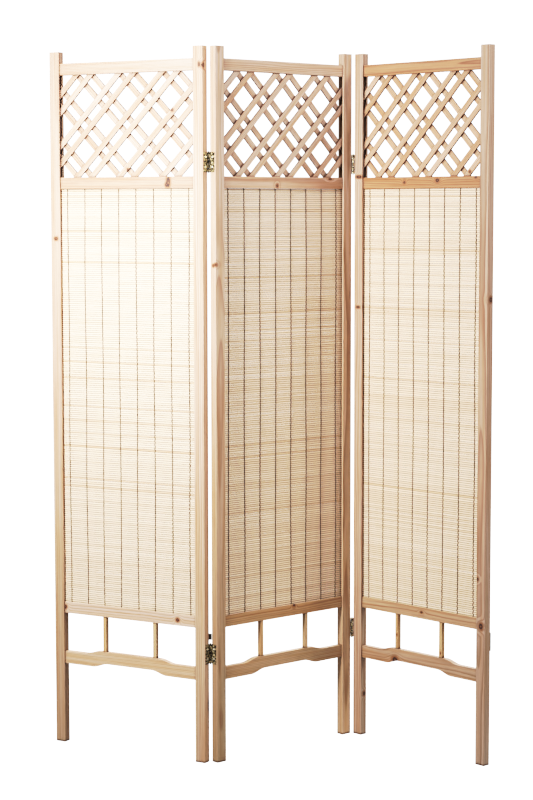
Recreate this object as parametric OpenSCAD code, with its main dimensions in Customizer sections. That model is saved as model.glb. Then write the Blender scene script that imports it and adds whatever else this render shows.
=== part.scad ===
// Three-panel folding screen in pine: lattice tops, woven bamboo blinds and bowed
// bottom stretchers, joined by butt hinges so that it folds in a Z.
//
// Each panel is drawn in its own frame: X runs across the panel from its left side, Y runs
// back from the posts' front faces and Z runs up from the floor.  place() stands a panel in
// the screen's frame, which has its origin under the middle of the whole screen.

/* [Screen] */
// Height of the posts
screen_h = 1700; // [1600:10:1800]
// Width of one panel over both posts
panel_w = 436; // [410:2:460]
// Turn of the left panel about the vertical, in degrees
left_turn = -30; // [-45:1:-15]
// Turn of the middle panel about the vertical, in degrees
middle_turn = 41; // [20:1:50]
// Turn of the right panel about the vertical, in degrees
right_turn = -47; // [-55:1:-20]

/* [Frame] */
// Width of a post, seen from the front
post_w = 27; // [24:1:32]
// Depth of a post, front to back
post_d = 20; // [19:0.5:24]
// Height of the top, middle and lower rails
rail_h = 28; // [24:1:34]
// Thickness of the rails and of the stretcher
rail_t = 14; // [13:0.5:16]
// How far the posts stand above the top rail
post_proud = 28; // [15:1:60]
// Height of the opening that holds the lattice
lattice_h = 246; // [200:2:300]
// Underside of the lower rail above the floor
lower_rail_z = 326; // [290:1:360]

/* [Grooves] */
// Width of the groove that runs round each opening
groove_w = 9; // [8.5:0.25:9.5]
// Depth of the groove in the posts, and length of the rails' tenons
post_groove = 8; // [5:0.5:10]
// Depth of the groove in the rails
rail_groove = 5; // [3:0.5:7]

/* [Stretcher] */
// Underside of the stretcher above the floor, at its ends
stretcher_z = 199; // [180:1:210]
// Height of the stretcher's board
stretcher_h = 31; // [26:1:36]
// How far the stretcher's top edge bows up in the middle
top_bow = 9; // [6:0.5:14]
// How far the stretcher's bottom edge bows up in the middle
bottom_bow = 10; // [6:0.5:14]
// Width of the bow at half its rise, along the top edge
top_bow_w = 216; // [190:2:230]
// Width of the bow at half its rise, along the bottom edge
bottom_bow_w = 172; // [150:2:184]
// Width of each rise of the bow
bow_ramp = 44; // [30:2:56]
// Side of the square spindles
spindle_w = 10; // [8:0.5:13]

/* [Lattice] */
// Width of a slat
slat_w = 14; // [10:0.5:18]
// Thickness of a slat
slat_t = 4; // [3:0.25:4]
// Distance between the two slats of a pair, measured along the rail
pair_gap = 42.5; // [34:0.5:50]

/* [Blind] */
// Thickness of the woven reeds
blind_t = 2.4; // [1.5:0.1:3]
// Number of warp threads
thread_count = 8; // [4:1:12]
// Distance between warp threads
thread_pitch = 49.5; // [30:0.5:50]
// Width of a warp thread
thread_w = 1.2; // [0.8:0.1:2]
// How far a warp thread stands in front of the reeds
thread_t = 0.6; // [0.3:0.1:0.8]

/* [Hinges] */
// Height of a hinge
hinge_h = 47; // [40:1:50]
// Middle of the upper hinges above the floor
upper_hinge_z = 1431; // [1400:1:1450]
// Middle of the lower left hinge above the floor
lower_left_hinge_z = 263; // [255:1:266]
// Middle of the lower right hinge above the floor
lower_right_hinge_z = 272; // [255:1:280]
// Width of a leaf, from the pin's axis to its free edge
leaf_w = 19; // [16:0.5:20]
// Thickness of a leaf
leaf_t = 1.2; // [1:0.1:1.4]
// Gap between the side faces of two panels that lie flat
panel_gap = 4; // [3.6:0.1:5]
// Distance of the pin's axis outside the posts' faces
axis_proud = 3; // [2.8:0.1:4]

/* [Hidden] */
$fn = 48;
PANELS = ["left_panel", "middle_panel", "right_panel"];
PIECES = [
    "left_post", "right_post", "top_rail", "middle_rail", "lower_rail", "stretcher",
    "left_spindle", "right_spindle", "front_slats", "back_slats", "blind", "blind_threads",
    "hinge_screws"
];
HINGES = ["upper_left_hinge", "lower_left_hinge", "upper_right_hinge", "lower_right_hinge"];
HINGE_PIECES = ["outer_leaf", "middle_leaf", "pin"];
NODES = concat(
    [for (panel = PANELS) for (piece = PIECES) str(panel, "_", piece)],
    [for (hinge = HINGES) for (piece = HINGE_PIECES) str(hinge, "_", piece)],
    ["left_panel_bumper", "right_panel_bumper"]
);
node = "all";

LEFT = 0;
MIDDLE = 1;
RIGHT = 2;
TURNS = [left_turn, middle_turn, right_turn];

// Heights and depths that follow from the driving sizes
mid_d = post_d / 2;
rail_y = mid_d - rail_t / 2;
groove_y = mid_d - groove_w / 2;
top_rail_z = screen_h - post_proud - rail_h;
middle_rail_z = top_rail_z - lattice_h - rail_h;
lattice_z = middle_rail_z + rail_h;
blind_z = lower_rail_z + rail_h;
opening_w = panel_w - 2 * post_w;
blind_y = mid_d - 1;
cut = 1;

// Hinge details
KNUCKLES = 5;
knuckle_r = 2.75;
knuckle_gap = 0.4;
plate_clear = 0.5;
pin_r = 1.2;
pin_play = 0.05;
pin_cap_r = 2.4;
pin_cap_h = 1.4;
screw_r = 1.3;
screw_head_r = 2.6;
screw_dome = 0.3;
screw_length = 12;
SCREW_AT = [0.26, 0.75];
screw_back = 11.5;
hinge_zs = [upper_hinge_z, lower_left_hinge_z, upper_hinge_z, lower_right_hinge_z];

// Rubber bumpers on the posts' back faces, just above the lower hinges
bumper_t = 3;
left_bumper = [10, 14];
left_bumper_z = 297;
bumper_nose_r = 3.3;
right_bumper = [12, 44];
right_bumper_z = 276;

// Where each panel stands.  turned() rotates a point in plan.  The pin's axis of the left
// pair lies behind the posts and that of the right pair lies in front of them.
function turned(point, angle) = [
    point.x * cos(angle) - point.y * sin(angle),
    point.x * sin(angle) + point.y * cos(angle)
];
near_x = -panel_gap / 2;
far_x = panel_w + panel_gap / 2;
back_axis_y = post_d + axis_proud;
front_axis_y = -axis_proud;
left_axis = turned([near_x, back_axis_y], middle_turn);
right_axis = turned([far_x, front_axis_y], middle_turn);
raw_origins = [
    left_axis - turned([far_x, back_axis_y], left_turn),
    [0, 0],
    right_axis - turned([near_x, front_axis_y], right_turn)
];
outline = [
    for (i = [LEFT:RIGHT])
        for (corner = [[0, 0], [panel_w, 0], [panel_w, post_d], [0, post_d]])
            raw_origins[i] + turned(corner, TURNS[i]),
    raw_origins[RIGHT] + turned([panel_w, post_d + bumper_t], right_turn)
];
plan_x = [for (point = outline) point.x];
plan_y = [for (point = outline) point.y];
centre = [(min(plan_x) + max(plan_x)) / 2, (min(plan_y) + max(plan_y)) / 2];

// Stands the children of panel i in the screen's frame.
module place(i) {
    at = raw_origins[i] - centre;
    translate([at.x, at.y, 0]) rotate([0, 0, TURNS[i]]) children();
}

// Moves the children, drawn for a leaf on a post's right side, to hinge k on panel i.  The
// children have the pin's axis as Z, the post on their -X side and its face behind the axis.
module at_hinge(k, i) {
    on_left_side = (k < 2) == (i == MIDDLE);
    behind = k < 2;
    axis_y = behind ? back_axis_y : front_axis_y;
    translate([on_left_side ? near_x : far_x, axis_y, hinge_zs[k] - hinge_h / 2])
        mirror([on_left_side ? 1 : 0, 0, 0])
            mirror([0, behind ? 0 : 1, 0])
                children();
}

// The hinges that panel i carries
function hinges_of(i) = i == LEFT ? [0, 1] : i == RIGHT ? [2, 3] : [0, 1, 2, 3];

// A square-cut post with the groove for lattice and blind on its inner side, the mortise for
// the stretcher, and pilot holes for its hinge screws.
module post(i, is_left) {
    inner_x = is_left ? post_w - post_groove : 0;
    hinge_side = i == MIDDLE || (i == LEFT) != is_left;
    color("burlywood") difference() {
        translate([is_left ? 0 : panel_w - post_w, 0, 0]) cube([post_w, post_d, screen_h]);
        translate([(is_left ? 0 : panel_w - post_w) + inner_x, groove_y, 0]) {
            translate([is_left ? 0 : -cut, 0, lower_rail_z])
                cube([post_groove + cut, groove_w, top_rail_z + rail_h - lower_rail_z]);
            translate([is_left ? 0 : -cut, 0, stretcher_z])
                cube([post_groove + cut, groove_w, stretcher_h]);
        }
        if (hinge_side)
            for (k = hinges_of(i))
                if (i != MIDDLE || (k < 2) == is_left)
                    at_hinge(k, i) screw_shanks();
    }
}

// The board shared by the three straight rails: a tenon at each end, and a groove along the
// whole of each edge that faces an opening, which cuts the tenons back as well.
module rail(z, groove_above, groove_below) {
    tenon_x = post_w - post_groove;
    tenon_span = opening_w + 2 * post_groove;
    color("burlywood") difference() {
        union() {
            translate([post_w, rail_y, z]) cube([opening_w, rail_t, rail_h]);
            translate([tenon_x, groove_y, z]) cube([tenon_span, groove_w, rail_h]);
        }
        if (groove_above)
            translate([tenon_x - cut, groove_y, z + rail_h - rail_groove])
                cube([tenon_span + 2 * cut, groove_w, rail_groove + cut]);
        if (groove_below)
            translate([tenon_x - cut, groove_y, z - cut])
                cube([tenon_span + 2 * cut, groove_w, rail_groove + cut]);
    }
}

// Height of a bow of the given rise and width at x: level outside, an S-curve up each end and
// level again between them.
function ramp(t) = (1 - cos(180 * min(1, max(0, t)))) / 2;
function bow(x, rise, width) =
    rise * ramp(0.5 + (width / 2 - abs(x - panel_w / 2)) / bow_ramp);

// The bowed board between the feet, with a tenon at each end.
module stretcher() {
    steps = 8;
    ramp_x = function (width) [
        for (side = [-1, 1]) for (s = [-steps:2:steps])
            panel_w / 2 + side * width / 2 + s / steps * bow_ramp / 2
    ];
    bottom = [for (x = ramp_x(bottom_bow_w)) [x, bow(x, bottom_bow, bottom_bow_w)]];
    top = [for (x = ramp_x(top_bow_w)) [x, stretcher_h + bow(x, top_bow, top_bow_w)]];
    last = len(top) - 1;
    end_x = panel_w - post_w;
    color("burlywood") union() {
        translate([0, rail_y + rail_t, stretcher_z]) rotate([90, 0, 0]) linear_extrude(rail_t)
            polygon(concat(
                [[post_w, 0]], bottom, [[end_x, 0], [end_x, stretcher_h]],
                [for (j = [0:last]) top[last - j]], [[post_w, stretcher_h]]
            ));
        for (x = [post_w - post_groove, end_x - cut])
            translate([x, groove_y, stretcher_z])
                cube([post_groove + cut, groove_w, stretcher_h]);
    }
}

// A square spindle between the stretcher's bow and the lower rail, at a third of the panel.
module spindle(third) {
    bottom_z = stretcher_z + stretcher_h + top_bow;
    color("burlywood")
        translate([third * panel_w / 3 - spindle_w / 2, mid_d - spindle_w / 2, bottom_z])
            cube([spindle_w, spindle_w, lower_rail_z - bottom_z]);
}

// One layer of the lattice: pairs of slats at 45 degrees, half the opening's height apart, cut
// to reach the bottoms of the grooves.
module slats(y, rising) {
    pitch = lattice_h / 2;
    long = 2 * (lattice_h + panel_w);
    flip = rising ? 0 : 1;
    color(rising ? "wheat" : "tan")
        translate([flip * panel_w, 0, 0]) mirror([flip, 0, 0]) intersection() {
            translate([post_w - post_groove, y, lattice_z - rail_groove])
                cube([opening_w + 2 * post_groove, slat_t, lattice_h + 2 * rail_groove]);
            for (pair = [-3:1])
                for (side = [-1, 1])
                    translate([
                        panel_w / 2 + pair * pitch + side * pair_gap / 2, y - cut, lattice_z
                    ])
                        rotate([0, 45, 0])
                            translate([-slat_w / 2, 0, -long / 2])
                                cube([slat_w, slat_t + 2 * cut, long]);
        }
}

// The woven blind, held in the grooves on all four sides.
module blind() {
    color("palegoldenrod")
        translate([post_w - post_groove, blind_y, blind_z - rail_groove])
            cube([
                opening_w + 2 * post_groove, blind_t,
                middle_rail_z - blind_z + 2 * rail_groove
            ]);
}

// The dark warp threads in front of the reeds.
module blind_threads() {
    first = panel_w / 2 - (thread_count - 1) / 2 * thread_pitch;
    color("saddlebrown") for (j = [0:thread_count - 1])
        translate([first + j * thread_pitch - thread_w / 2, blind_y - thread_t, blind_z])
            cube([thread_w, thread_t, middle_rail_z - blind_z]);
}

// Shanks of the two screws of a leaf, as they sit in the post.
module screw_shanks() {
    for (part = SCREW_AT)
        translate([-panel_gap / 2 - screw_length, -screw_back, part * hinge_h])
            rotate([0, 90, 0]) cylinder(r = screw_r, h = screw_length);
}

// The screws of a leaf: shank, countersunk head and its low dome.
module leaf_screws() {
    screw_shanks();
    for (part = SCREW_AT)
        translate([-panel_gap / 2, -screw_back, part * hinge_h]) rotate([0, 90, 0]) {
            cylinder(r1 = screw_r, r2 = screw_head_r, h = leaf_t);
            translate([0, 0, leaf_t])
                cylinder(r1 = screw_head_r, r2 = screw_head_r / 2, h = screw_dome);
        }
}

module hinge_screws(i) {
    color("goldenrod") for (k = hinges_of(i)) at_hinge(k, i) leaf_screws();
}

// A leaf with every other knuckle, starting from knuckle `first`.
module leaf(first) {
    step = hinge_h / KNUCKLES;
    plate_end = knuckle_r + plate_clear;
    color("darkgoldenrod") difference() {
        union() {
            translate([-panel_gap / 2, -leaf_w, 0]) cube([leaf_t, leaf_w - plate_end, hinge_h]);
            for (j = [first:2:KNUCKLES - 1])
                translate([0, 0, j * step + knuckle_gap / 2]) {
                    cylinder(r = knuckle_r, h = step - knuckle_gap);
                    translate([-panel_gap / 2, -plate_end - cut, 0])
                        cube([leaf_t, plate_end + cut, step - knuckle_gap]);
                }
        }
        translate([0, 0, -cut]) cylinder(r = pin_r + pin_play, h = hinge_h + 2 * cut);
        for (part = SCREW_AT)
            translate([-panel_gap / 2, -screw_back, part * hinge_h]) rotate([0, 90, 0])
                cylinder(r1 = screw_r, r2 = screw_head_r, h = leaf_t);
    }
}

// The pin, with a low button on each end.
module pin() {
    color("darkgoldenrod") {
        translate([0, 0, -knuckle_gap]) cylinder(r = pin_r, h = hinge_h + 2 * knuckle_gap);
        for (z = [-knuckle_gap - pin_cap_h, hinge_h + knuckle_gap])
            translate([0, 0, z]) cylinder(r = pin_cap_r, h = pin_cap_h);
    }
}

// A rubber bumper on the back of a panel's right post.  A nosed one reaches past the post's
// side to the pin's axis and ends round it, so that it clears the next post in every fold.
module bumper(size, z, nosed) {
    reach = nosed ? panel_gap / 2 : 0;
    color("black") {
        translate([panel_w - size[0], post_d, z])
            cube([size[0] + reach, bumper_t, size[1]]);
        if (nosed) translate([far_x, back_axis_y, z]) cylinder(h = size[1], r = bumper_nose_r);
    }
}

function shown(i, piece) = node == "all" || node == str(PANELS[i], "_", piece);
function hinge_shown(k, piece) = node == "all" || node == str(HINGES[k], "_", piece);

for (i = [LEFT:RIGHT]) {
    if (shown(i, "left_post")) place(i) post(i, true);
    if (shown(i, "right_post")) place(i) post(i, false);
    if (shown(i, "top_rail")) place(i) rail(top_rail_z, false, true);
    if (shown(i, "middle_rail")) place(i) rail(middle_rail_z, true, true);
    if (shown(i, "lower_rail")) place(i) rail(lower_rail_z, true, false);
    if (shown(i, "stretcher")) place(i) stretcher();
    if (shown(i, "left_spindle")) place(i) spindle(1);
    if (shown(i, "right_spindle")) place(i) spindle(2);
    if (shown(i, "front_slats")) place(i) slats(mid_d - slat_t, true);
    if (shown(i, "back_slats")) place(i) slats(mid_d, false);
    if (shown(i, "blind")) place(i) blind();
    if (shown(i, "blind_threads")) place(i) blind_threads();
    if (shown(i, "hinge_screws")) place(i) hinge_screws(i);
}
for (k = [0:3]) {
    outer = k < 2 ? LEFT : RIGHT;
    if (hinge_shown(k, "outer_leaf")) place(outer) at_hinge(k, outer) leaf(0);
    if (hinge_shown(k, "middle_leaf")) place(MIDDLE) at_hinge(k, MIDDLE) leaf(1);
    if (hinge_shown(k, "pin")) place(MIDDLE) at_hinge(k, MIDDLE) pin();
}
if (shown(LEFT, "bumper"))
    place(LEFT) bumper(left_bumper, left_bumper_z, true);
if (shown(RIGHT, "bumper"))
    place(RIGHT) bumper(right_bumper, right_bumper_z, false);
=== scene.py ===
"""Looks of the three-panel folding screen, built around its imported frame: knotty unfinished pine
with eased edges, blinds of single reeds bound by twisted warp threads, antique brass hinges with
cross-head screws, and rubber bumpers.

Lengths are in metres unless a name says mm.  Each panel has a frame of its own: X runs across it
from its left side, Y runs back from the posts' fronts and Z runs up from the floor.
"""

import math
import random

import bmesh
import bpy
from mathutils import Matrix, Vector


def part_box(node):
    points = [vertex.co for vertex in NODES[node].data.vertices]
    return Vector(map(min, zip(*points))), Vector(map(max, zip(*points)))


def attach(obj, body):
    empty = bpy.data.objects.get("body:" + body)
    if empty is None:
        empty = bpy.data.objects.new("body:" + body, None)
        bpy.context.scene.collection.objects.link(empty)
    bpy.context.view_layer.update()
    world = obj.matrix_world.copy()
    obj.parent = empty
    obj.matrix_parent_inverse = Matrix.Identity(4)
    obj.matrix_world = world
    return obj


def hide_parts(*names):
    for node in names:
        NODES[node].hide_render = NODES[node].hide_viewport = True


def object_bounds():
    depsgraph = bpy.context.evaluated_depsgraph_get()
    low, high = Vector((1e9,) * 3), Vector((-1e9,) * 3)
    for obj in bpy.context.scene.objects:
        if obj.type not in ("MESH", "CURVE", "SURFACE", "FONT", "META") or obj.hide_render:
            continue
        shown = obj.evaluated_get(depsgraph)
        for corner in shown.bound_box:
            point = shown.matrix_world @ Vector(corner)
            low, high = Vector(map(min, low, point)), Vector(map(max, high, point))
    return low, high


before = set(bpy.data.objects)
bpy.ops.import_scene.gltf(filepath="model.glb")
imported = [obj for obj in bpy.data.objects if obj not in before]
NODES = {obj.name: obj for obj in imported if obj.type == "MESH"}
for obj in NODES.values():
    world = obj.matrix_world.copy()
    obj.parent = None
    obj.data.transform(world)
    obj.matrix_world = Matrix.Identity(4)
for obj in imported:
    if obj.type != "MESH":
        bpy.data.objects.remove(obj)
cad_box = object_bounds()

MM = 0.001
UP = Vector((0, 0, 1))
PANELS = ("left_panel", "middle_panel", "right_panel")
HINGES = ("upper_left_hinge", "lower_left_hinge", "upper_right_hinge", "lower_right_hinge")


# ---------------------------------------------------------------- places in the frame

def centre(node):
    """The middle of a CAD node's box."""
    low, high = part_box(node)
    return (low + high) / 2


def extent(points):
    """(lowest corner, highest corner) of some points."""
    points = list(points)
    low = Vector([min(point[axis] for point in points) for axis in range(3)])
    high = Vector([max(point[axis] for point in points) for axis in range(3)])
    return low, high


def panel_frame(panel):
    """The matrix from the panel's own frame to the scene's, read off its two posts."""
    left = f"{panel}_left_post"
    across = (centre(f"{panel}_right_post") - centre(left)).normalized()
    turn = Matrix((across, UP.cross(across), UP)).transposed()
    corner, _ = extent(turn.transposed() @ vertex.co for vertex in NODES[left].data.vertices)
    return Matrix.Translation(turn @ corner) @ turn.to_4x4()


FRAMES = {panel: panel_frame(panel) for panel in PANELS}
WELD_DISTANCE = 0.01 * MM
FLAT_WITHIN = math.radians(0.5)


def cad_mesh(node, panel):
    """The CAD node's mesh in the panel's frame, welded and with its flat faces made whole."""
    mesh = bmesh.new()
    mesh.from_mesh(NODES[node].data)
    mesh.transform(FRAMES[panel].inverted())
    bmesh.ops.remove_doubles(mesh, verts=mesh.verts, dist=WELD_DISTANCE)
    bmesh.ops.dissolve_limit(mesh, angle_limit=FLAT_WITHIN, verts=mesh.verts, edges=mesh.edges)
    bmesh.ops.recalc_face_normals(mesh, faces=mesh.faces)
    return mesh


def islands(mesh):
    """The mesh's separate solids, each a list of vertices."""
    waiting = set(mesh.verts)
    solids = []
    for seed in mesh.verts:
        if seed not in waiting:
            continue
        waiting.discard(seed)
        solid = []
        stack = [seed]
        while stack:
            vertex = stack.pop()
            solid.append(vertex)
            for edge in vertex.link_edges:
                other = edge.other_vert(vertex)
                if other in waiting:
                    waiting.discard(other)
                    stack.append(other)
        solids.append(solid)
    return solids


def solid_boxes(node, panel):
    """(lowest corner, highest corner) of each solid of a CAD node in the panel's own frame."""
    mesh = cad_mesh(node, panel)
    boxes = [extent(vertex.co for vertex in solid) for solid in islands(mesh)]
    mesh.free()
    return boxes


def local_box(node, panel):
    """(lowest corner, highest corner) of a CAD node in the panel's own frame."""
    inverse = FRAMES[panel].inverted()
    return extent(inverse @ vertex.co for vertex in NODES[node].data.vertices)


# ---------------------------------------------------------------- pieces

# Edges that turn more than CORNER_ANGLE are eased, and those that turn more than these degrees
# stay sharp in the shading
CORNER_ANGLE = math.radians(40)
SMOOTH_BELOW = 35
REED_SMOOTH_BELOW = 60
THREAD_SMOOTH_BELOW = 100


def ease_edges(mesh, width, shortest, segments=2):
    """Rounds the mesh's outward corners that are longer than shortest."""
    sharp = [
        edge for edge in mesh.edges
        if edge.is_manifold
        and edge.calc_face_angle_signed(0) > CORNER_ANGLE
        and edge.calc_length() > shortest
    ]
    bmesh.ops.bevel(
        mesh, geom=sharp, offset=width, offset_type="OFFSET", segments=segments,
        profile=0.5, affect="EDGES", clamp_overlap=True,
    )


def add_object(name, data):
    """A new object in the scene with this mesh, light or camera."""
    made = bpy.data.objects.new(name, data)
    bpy.context.scene.collection.objects.link(made)
    return made


def add_piece(name, data, panel, material, node):
    """A visible piece of a panel, which rides on the panel's body and stands for a CAD node."""
    piece = add_object(name, data)
    piece.matrix_world = FRAMES[panel]
    data.materials.append(material)
    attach(piece, panel)
    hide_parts(node)
    return piece


def shade_smooth(data, below):
    """Shades a mesh smooth where its faces meet at less than an angle in degrees."""
    data.polygons.foreach_set("use_smooth", [True] * len(data.polygons))
    data.set_sharp_from_angle(angle=math.radians(below))


def to_data(mesh, name):
    """Turns a bmesh into smooth-shaded mesh data."""
    data = bpy.data.meshes.new(name)
    mesh.to_mesh(data)
    mesh.free()
    shade_smooth(data, SMOOTH_BELOW)
    return data


def tube_faces(base, rings, sides):
    """The faces of a closed tube, whose rings of vertices follow each other from base.  Each
    ring runs anticlockwise as seen from the tube's far end."""
    faces = []
    for ring in range(rings - 1):
        start = base + ring * sides
        for side in range(sides):
            other = (side + 1) % sides
            faces.append((
                start + side, start + other,
                start + sides + other, start + sides + side,
            ))
    last = base + (rings - 1) * sides
    faces.append(tuple(base + side for side in reversed(range(sides))))
    faces.append(tuple(last + side for side in range(sides)))
    return faces


def even_shading(piece):
    """Makes the wide faces keep their own normals, so that only the eased edges look round."""
    weighted = piece.modifiers.new("even_shading", "WEIGHTED_NORMAL")
    weighted.keep_sharp = True


def add_attribute(data, name, kind, values, domain="POINT"):
    """A named value at each point or face of a mesh, which its material reads."""
    attribute = data.attributes.new(name, kind, domain)
    key = "vector" if kind == "FLOAT_VECTOR" else "value"
    attribute.data.foreach_set(key, values)


def add_grain(data, origin, along, across):
    """Stores each point's place in the timber: along the grain, across it, and in depth from
    the panel's front to its back."""
    values = []
    for vertex in data.vertices:
        offset = vertex.co - origin
        values += [offset.dot(along), offset.dot(across), offset.y]
    add_attribute(data, "grain", "FLOAT_VECTOR", values)


# ---------------------------------------------------------------- node graphs

class Graph:
    """Adds nodes to a node tree.  An input is a socket to link from or a plain value."""

    def __init__(self, tree):
        self.tree = tree

    def feed(self, node, inputs):
        """Links or sets a node's inputs, told by name or number."""
        for key, value in inputs.items():
            if isinstance(value, bpy.types.NodeSocket):
                self.tree.links.new(value, node.inputs[key])
            else:
                node.inputs[key].default_value = value

    def node(self, kind, inputs=None, **settings):
        made = self.tree.nodes.new(kind)
        for key, value in settings.items():
            setattr(made, key, value)
        self.feed(made, inputs or {})
        return made

    def math(self, operation, a, b=0.0, c=0.0):
        return self.node("ShaderNodeMath", {0: a, 1: b, 2: c}, operation=operation).outputs[0]

    def vector(self, operation, a, b=(0.0, 0.0, 0.0), output=0):
        return self.node("ShaderNodeVectorMath", {0: a, 1: b}, operation=operation).outputs[output]

    def attribute(self, name, output="Vector"):
        return self.node("ShaderNodeAttribute", attribute_name=name).outputs[output]

    def noise(self, place, scale=1.0, detail=2.0, roughness=0.5, output="Fac"):
        inputs = {"Vector": place, "Scale": scale, "Detail": detail, "Roughness": roughness}
        return self.node("ShaderNodeTexNoise", inputs).outputs[output]

    def remap(self, value, low, high, to_low=0.0, to_high=1.0, smooth=False):
        inputs = {0: value, 1: low, 2: high, 3: to_low, 4: to_high}
        kind = "SMOOTHSTEP" if smooth else "LINEAR"
        made = self.node("ShaderNodeMapRange", inputs, interpolation_type=kind, clamp=True)
        return made.outputs[0]

    def stretched_noise(self, place, stretch, **settings):
        """Noise that changes about stretch times a metre along each axis."""
        return self.noise(self.vector("MULTIPLY", place, stretch), **settings)

    def mix(self, factor, a, b, blend="MIX"):
        inputs = {0: factor, 6: a, 7: b}
        return self.node("ShaderNodeMix", inputs, data_type="RGBA", blend_type=blend).outputs[2]

    def ramp(self, value, stops):
        """A grey ramp through (position, value) stops."""
        made = self.node("ShaderNodeValToRGB", {0: value})
        ramp = made.color_ramp
        while len(ramp.elements) < len(stops):
            ramp.elements.new(0.5)
        for element, (position, level) in zip(ramp.elements, stops):
            element.position = position
            element.color = (level, level, level, 1)
        return made.outputs[0]

    def bump(self, height, distance):
        inputs = {"Height": height, "Distance": distance, "Strength": 1.0}
        return self.node("ShaderNodeBump", inputs).outputs[0]


def new_group(name, inputs, outputs):
    """A node group with these sockets: (graph, what it is given, its output node)."""
    tree = bpy.data.node_groups.new(name, "ShaderNodeTree")
    for way, sockets in (("INPUT", inputs), ("OUTPUT", outputs)):
        for socket, kind in sockets.items():
            tree.interface.new_socket(name=socket, in_out=way, socket_type=f"NodeSocket{kind}")
    graph = Graph(tree)
    return graph, graph.node("NodeGroupInput").outputs, graph.node("NodeGroupOutput")


def new_material(name):
    """A material with one Principled shader: (material, graph, the shader)."""
    material = bpy.data.materials.new(name)
    material.use_nodes = True
    material.node_tree.nodes.clear()
    graph = Graph(material.node_tree)
    shader = graph.node("ShaderNodeBsdfPrincipled")
    graph.node("ShaderNodeOutputMaterial", {"Surface": shader.outputs[0]})
    return material, graph, shader


# ---------------------------------------------------------------- pine

# The pale and the dark part of a ring, the colours that darken the wood where it is streaked,
# tanned, greyed, yellowed or near the heart, the dark colour for stained ends and for painted
# shade, and the two colours of a knot
EARLYWOOD = (0.690, 0.500, 0.380, 1)
LATEWOOD = (0.320, 0.160, 0.088, 1)
STREAKED = (0.90, 0.79, 0.67, 1)
TANNED = (0.68, 0.49, 0.33, 1)
GREYED = (0.60, 0.58, 0.56, 1)
YELLOWED = (1.00, 0.98, 0.74, 1)
HEARTWOOD = (0.96, 0.88, 0.82, 1)
STAIN_AND_SHADE_COLOUR = (0.13, 0.065, 0.035, 1)
KNOT_HALO = (0.30, 0.120, 0.050, 1)
KNOT_CORE = (0.045, 0.015, 0.009, 1)
# How many times a metre each pattern changes: along the grain, across it and in depth
SWAY_STRETCH = (1.7, 9, 9)
FIBRE_STRETCH = (22, 650, 650)
STREAK_STRETCH = (3.5, 130, 130)
BLOTCH_STRETCH = (2.2, 14, 14)
# One growth ring from its inner side out, as (place, darkness), and the darkness of the faintest
RING_PROFILE = ((0.0, 0.05), (0.45, 0.10), (0.80, 0.75), (0.92, 1.0), (1.0, 0.05))
FAINTEST_RING = 0.45
RING_SWAY = 20 * MM
RING_WIDTHS_MM = (2.8, 5.2)
PITH_DISTANCES = (0.02, 0.07)
# How far the rings bulge round a knot, in rings, and how fast that falls off.  A knot's dark halo,
# its core and its paler heart each fade in between two distances, counted in the knot's radii.
KNOT_BULGE = 2.6
KNOT_FALLOFF = 0.22
KNOT_RAGGED = 0.5
HALO_FADE = (2.3, 1.0)
CORE_FADE = (1.15, 0.8)
HEART_FADE = (0.55, 0.1)
WOOD_BUMP = 0.12 * MM


def make_knot_group():
    """One knot: adds to the rings' bulge and to the dark mask of the knots before it."""
    graph, given, out = new_group(
        "knot",
        {"Grain": "Vector", "Centre": "Vector", "Size": "Vector", "Bulge": "Float",
         "Mask": "Float"},
        {"Bulge": "Float", "Mask": "Float"},
    )
    offset = graph.vector("SUBTRACT", given["Grain"], given["Centre"])
    offset = graph.vector("DIVIDE", offset, given["Size"])
    distance = graph.vector("LENGTH", offset, output="Value")
    ragged = graph.noise(given["Grain"], scale=260, detail=1)
    distance = graph.math("MULTIPLY_ADD", ragged, KNOT_RAGGED, distance)
    distance = graph.math("SUBTRACT", distance, KNOT_RAGGED / 2)
    fall = graph.math("MULTIPLY", distance, distance)
    fall = graph.math("MULTIPLY", fall, -KNOT_FALLOFF)
    bulge = graph.math("EXPONENT", fall)
    bulge = graph.math("MULTIPLY_ADD", bulge, KNOT_BULGE, given["Bulge"])
    halo = graph.remap(distance, *HALO_FADE, 0.0, 0.45, smooth=True)
    core = graph.remap(distance, *CORE_FADE, 0.0, 1.0, smooth=True)
    heart = graph.remap(distance, *HEART_FADE, 0.0, 0.55, smooth=True)
    mask = graph.math("MAXIMUM", halo, core)
    mask = graph.math("SUBTRACT", mask, heart)
    mask = graph.math("MAXIMUM", mask, given["Mask"])
    graph.feed(out, {"Bulge": bulge, "Mask": mask})
    return graph.tree


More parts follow.
